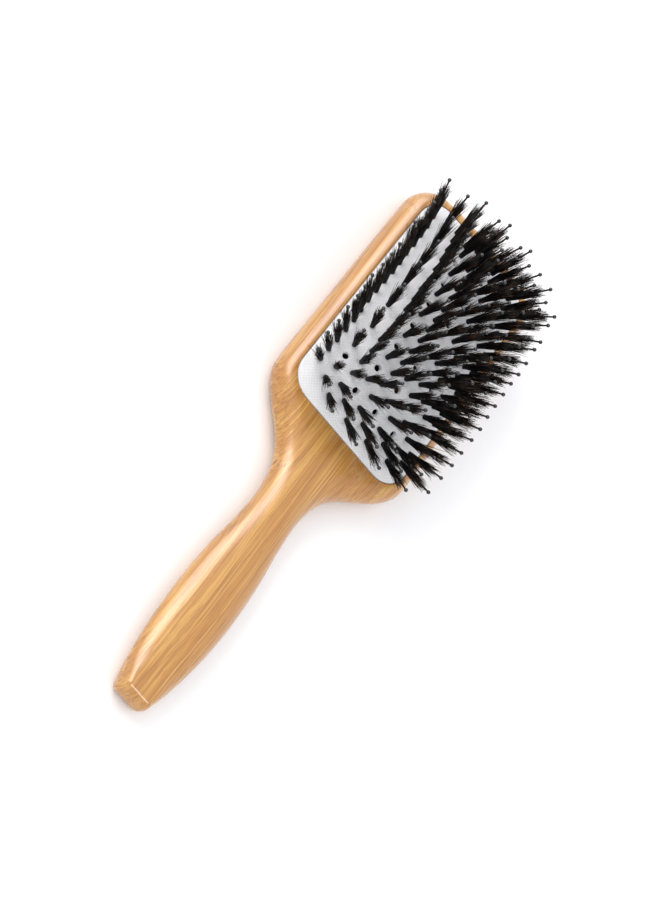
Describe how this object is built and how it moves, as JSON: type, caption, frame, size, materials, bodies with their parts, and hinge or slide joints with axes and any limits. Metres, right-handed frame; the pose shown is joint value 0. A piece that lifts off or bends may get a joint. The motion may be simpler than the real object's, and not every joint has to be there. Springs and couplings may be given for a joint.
{
  "type": "hairbrush",
  "caption": "Paddle hairbrush of lacquered bamboo with a white air cushion that gives when pressed and dark bristle tufts with ball-tipped pins.",
  "frame": {"origin": "under the middle of the brush, on the surface that it lies on", "axes": "+Y along the brush from the handle to the head's far end, +Z out of the cushion along the bristles, +X across"},
  "size_m": [0.0699, 0.242, 0.043],
  "materials": {
    "bamboo": "clear gloss lacquer over laminated bamboo with the grain lengthwise",
    "white_rubber": "matt moulded rubber with a fine woven face",
    "boar_bristle": "natural boar bristle, near black, satin",
    "black_nylon": "black nylon, satin gloss"
  },
  "bodies": {
    "root": {"bamboo_paddle": "bamboo", "air_cushion": "white_rubber"},
    "outer_tufts": {"bristles_outer_left": "boar_bristle", "pins_outer_left": "black_nylon", "bristles_outer_right": "boar_bristle", "pins_outer_right": "black_nylon", "bristles_outer_near": "boar_bristle", "pins_outer_near": "black_nylon", "bristles_outer_far": "boar_bristle", "pins_outer_far": "black_nylon"},
    "second_tufts": {"bristles_second_left": "boar_bristle", "pins_second_left": "black_nylon", "bristles_second_right": "boar_bristle", "pins_second_right": "black_nylon", "bristles_second_near": "boar_bristle", "pins_second_near": "black_nylon", "bristles_second_far": "boar_bristle", "pins_second_far": "black_nylon"},
    "third_tufts": {"bristles_third_left": "boar_bristle", "pins_third_left": "black_nylon", "bristles_third_right": "boar_bristle", "pins_third_right": "black_nylon", "bristles_third_near": "boar_bristle", "pins_third_near": "black_nylon", "bristles_third_far": "boar_bristle", "pins_third_far": "black_nylon"},
    "fourth_tufts": {"bristles_fourth_left": "boar_bristle", "pins_fourth_left": "black_nylon", "bristles_fourth_right": "boar_bristle", "pins_fourth_right": "black_nylon"},
    "centre_tufts": {"bristles_centre_left": "boar_bristle", "pins_centre_left": "black_nylon", "bristles_centre_right": "boar_bristle", "pins_centre_right": "black_nylon"}
  },
  "joints": [
    {"name": "centre_press", "type": "slide", "parent": "root", "child": "centre_tufts", "axis": [0, 0, 1], "range_m": [-0.004, 0], "stiffness_N_per_m": 1200, "springref_m": 0.0006, "deforming": ["air_cushion"]},
    {"name": "fourth_press", "type": "slide", "parent": "root", "child": "fourth_tufts", "axis": [0, 0, 1], "range_m": [-0.00382, 0]},
    {"name": "third_press", "type": "slide", "parent": "root", "child": "third_tufts", "axis": [0, 0, 1], "range_m": [-0.00312, 0]},
    {"name": "second_press", "type": "slide", "parent": "root", "child": "second_tufts", "axis": [0, 0, 1], "range_m": [-0.00222, 0]},
    {"name": "outer_press", "type": "slide", "parent": "root", "child": "outer_tufts", "axis": [0, 0, 1], "range_m": [-0.00115, 0]}
  ],
  "couplings": [
    {"joint": "fourth_press", "follows": "centre_press", "ratio": 0.956},
    {"joint": "third_press", "follows": "centre_press", "ratio": 0.78},
    {"joint": "second_press", "follows": "centre_press", "ratio": 0.555},
    {"joint": "outer_press", "follows": "centre_press", "ratio": 0.288}
  ]
}
